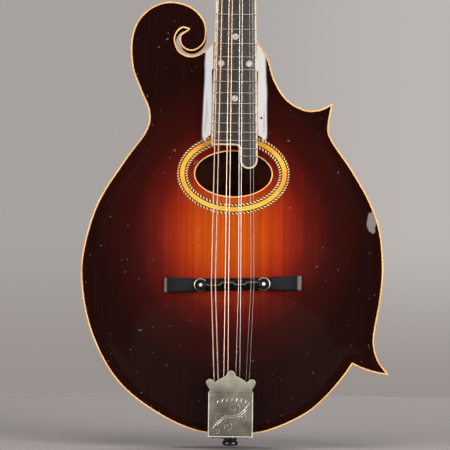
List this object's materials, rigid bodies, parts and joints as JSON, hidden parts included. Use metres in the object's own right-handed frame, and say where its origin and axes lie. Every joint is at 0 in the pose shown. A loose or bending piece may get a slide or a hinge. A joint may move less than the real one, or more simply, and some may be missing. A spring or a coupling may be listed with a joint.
{
  "type": "mandolin",
  "caption": "Carved mandolin with a scroll and two points, oval sound hole, adjustable bridge, slide-on tailpiece cover and geared tuners.",
  "frame": {"origin": "centre of the end pin's outer face", "axes": "+Z along the body towards the headstock, -Y out of the top, +X towards the treble side"},
  "size_m": [0.2545, 0.097, 0.6285],
  "materials": {
    "sunburst_spruce": "spruce top, gloss sunburst from orange to near black",
    "stained_maple": "maple stained dark red brown, gloss",
    "raw_spruce": "bare spruce inside the body",
    "binding_cream": "aged cream celluloid",
    "rosette_inlay": "yellow inlay between rope purflings",
    "ebony": "black ebony, satin",
    "nickel_plate": "aged nickel plate",
    "bone": "bone nut",
    "bronze_wire": "bronze wound wire",
    "steel_wire": "plain steel wire",
    "black_button": "black button on a steel shaft"
  },
  "bodies": {
    "root": {"top_plate": "sunburst_spruce", "back_plate": "stained_maple", "rib_bass": "stained_maple", "rib_cutaway": "stained_maple", "rib_treble": "stained_maple", "rib_lower_point": "stained_maple", "rib_lower_treble": "stained_maple", "neck_block": "raw_spruce", "tail_block": "raw_spruce", "upper_point_block": "raw_spruce", "lower_point_block": "raw_spruce", "lining_top_bass": "raw_spruce", "lining_top_treble": "raw_spruce", "lining_back_bass": "raw_spruce", "lining_back_treble": "raw_spruce", "top_brace": "raw_spruce", "top_binding": "binding_cream", "back_binding": "binding_cream", "soundhole_binding": "binding_cream", "rosette": "rosette_inlay", "fingerboard_riser": "stained_maple", "neck": "stained_maple", "fingerboard": "ebony", "fingerboard_binding": "binding_cream", "nut": "bone", "headstock_veneer": "ebony", "tailpiece_base": "nickel_plate", "end_pin": "ebony", "bridge_base": "ebony", "tuner_plate_bass": "nickel_plate", "tuner_plate_treble": "nickel_plate", "string_1": "bronze_wire", "string_2": "bronze_wire", "string_3": "bronze_wire", "string_4": "bronze_wire", "string_5": "steel_wire", "string_6": "steel_wire", "string_7": "steel_wire", "string_8": "steel_wire"},
    "tailpiece_cover": {"tailpiece_cover": "nickel_plate"},
    "saddle": {"bridge_saddle": "ebony"},
    "wheel_bass": {"thumbwheel_bass": "nickel_plate"},
    "wheel_treble": {"thumbwheel_treble": "nickel_plate"},
    "tuner_1": {"tuner_shaft_1": "black_button"},
    "post_1": {"string_post_1": "nickel_plate"},
    "tuner_2": {"tuner_shaft_2": "black_button"},
    "post_2": {"string_post_2": "nickel_plate"},
    "tuner_3": {"tuner_shaft_3": "black_button"},
    "post_3": {"string_post_3": "nickel_plate"},
    "tuner_4": {"tuner_shaft_4": "black_button"},
    "post_4": {"string_post_4": "nickel_plate"},
    "tuner_5": {"tuner_shaft_5": "black_button"},
    "post_5": {"string_post_5": "nickel_plate"},
    "tuner_6": {"tuner_shaft_6": "black_button"},
    "post_6": {"string_post_6": "nickel_plate"},
    "tuner_7": {"tuner_shaft_7": "black_button"},
    "post_7": {"string_post_7": "nickel_plate"},
    "tuner_8": {"tuner_shaft_8": "black_button"},
    "post_8": {"string_post_8": "nickel_plate"}
  },
  "joints": [
    {"name": "cover_slide", "type": "slide", "parent": "root", "child": "tailpiece_cover", "axis": [0, -0.1661, 0.9861], "range_m": [0, 0.034]},
    {"name": "saddle_height", "type": "slide", "parent": "root", "child": "saddle", "axis": [0, -1, 0], "range_m": [-0.0015, 0]},
    {"name": "wheel_bass_turn", "type": "hinge", "parent": "saddle", "child": "wheel_bass", "pos_m": [-0.0257, -0.0445, 0.13403], "axis": [0, -1, 0], "range_deg": [-720, 0]},
    {"name": "wheel_treble_turn", "type": "hinge", "parent": "saddle", "child": "wheel_treble", "pos_m": [0.0257, -0.0445, 0.13537], "axis": [0, -1, 0], "range_deg": [-720, 0]},
    {"name": "tuner_1_turn", "type": "hinge", "parent": "root", "child": "tuner_1", "pos_m": [-0.03, 0.0172, 0.52533], "axis": [1, 0, 0], "continuous": true},
    {"name": "post_1_turn", "type": "hinge", "parent": "root", "child": "post_1", "pos_m": [-0.017, 0.01477, 0.51807], "axis": [0, 0.9483, -0.3173], "continuous": true},
    {"name": "tuner_2_turn", "type": "hinge", "parent": "root", "child": "tuner_2", "pos_m": [-0.03, 0.0245, 0.54714], "axis": [1, 0, 0], "continuous": true},
    {"name": "post_2_turn", "type": "hinge", "parent": "root", "child": "post_2", "pos_m": [-0.017, 0.02207, 0.53989], "axis": [0, 0.9483, -0.3173], "continuous": true},
    {"name": "tuner_3_turn", "type": "hinge", "parent": "root", "child": "tuner_3", "pos_m": [-0.03, 0.0318, 0.56895], "axis": [1, 0, 0], "continuous": true},
    {"name": "post_3_turn", "type": "hinge", "parent": "root", "child": "post_3", "pos_m": [-0.017, 0.02937, 0.5617], "axis": [0, 0.9483, -0.3173], "continuous": true},
    {"name": "tuner_4_turn", "type": "hinge", "parent": "root", "child": "tuner_4", "pos_m": [-0.03, 0.03909, 0.59076], "axis": [1, 0, 0], "continuous": true},
    {"name": "post_4_turn", "type": "hinge", "parent": "root", "child": "post_4", "pos_m": [-0.017, 0.03667, 0.58351], "axis": [0, 0.9483, -0.3173], "continuous": true},
    {"name": "tuner_5_turn", "type": "hinge", "parent": "root", "child": "tuner_5", "pos_m": [0.03, 0.0172, 0.52533], "axis": [1, 0, 0], "continuous": true},
    {"name": "post_5_turn", "type": "hinge", "parent": "root", "child": "post_5", "pos_m": [0.017, 0.01477, 0.51807], "axis": [0, 0.9483, -0.3173], "continuous": true},
    {"name": "tuner_6_turn", "type": "hinge", "parent": "root", "child": "tuner_6", "pos_m": [0.03, 0.0245, 0.54714], "axis": [1, 0, 0], "continuous": true},
    {"name": "post_6_turn", "type": "hinge", "parent": "root", "child": "post_6", "pos_m": [0.017, 0.02207, 0.53989], "axis": [0, 0.9483, -0.3173], "continuous": true},
    {"name": "tuner_7_turn", "type": "hinge", "parent": "root", "child": "tuner_7", "pos_m": [0.03, 0.0318, 0.56895], "axis": [1, 0, 0], "continuous": true},
    {"name": "post_7_turn", "type": "hinge", "parent": "root", "child": "post_7", "pos_m": [0.017, 0.02937, 0.5617], "axis": [0, 0.9483, -0.3173], "continuous": true},
    {"name": "tuner_8_turn", "type": "hinge", "parent": "root", "child": "tuner_8", "pos_m": [0.03, 0.03909, 0.59076], "axis": [1, 0, 0], "continuous": true},
    {"name": "post_8_turn", "type": "hinge", "parent": "root", "child": "post_8", "pos_m": [0.017, 0.03667, 0.58351], "axis": [0, 0.9483, -0.3173], "continuous": true}
  ],
  "couplings": [
    {"joint": "wheel_bass_turn", "follows": "saddle_height", "rad_per_m": 7913.3},
    {"joint": "wheel_treble_turn", "follows": "saddle_height", "rad_per_m": 7913.3},
    {"joint": "post_1_turn", "follows": "tuner_1_turn", "ratio": 0.071429},
    {"joint": "post_2_turn", "follows": "tuner_2_turn", "ratio": 0.071429},
    {"joint": "post_3_turn", "follows": "tuner_3_turn", "ratio": 0.071429},
    {"joint": "post_4_turn", "follows": "tuner_4_turn", "ratio": 0.071429},
    {"joint": "post_5_turn", "follows": "tuner_5_turn", "ratio": 0.071429},
    {"joint": "post_6_turn", "follows": "tuner_6_turn", "ratio": 0.071429},
    {"joint": "post_7_turn", "follows": "tuner_7_turn", "ratio": 0.071429},
    {"joint": "post_8_turn", "follows": "tuner_8_turn", "ratio": 0.071429}
  ]
}
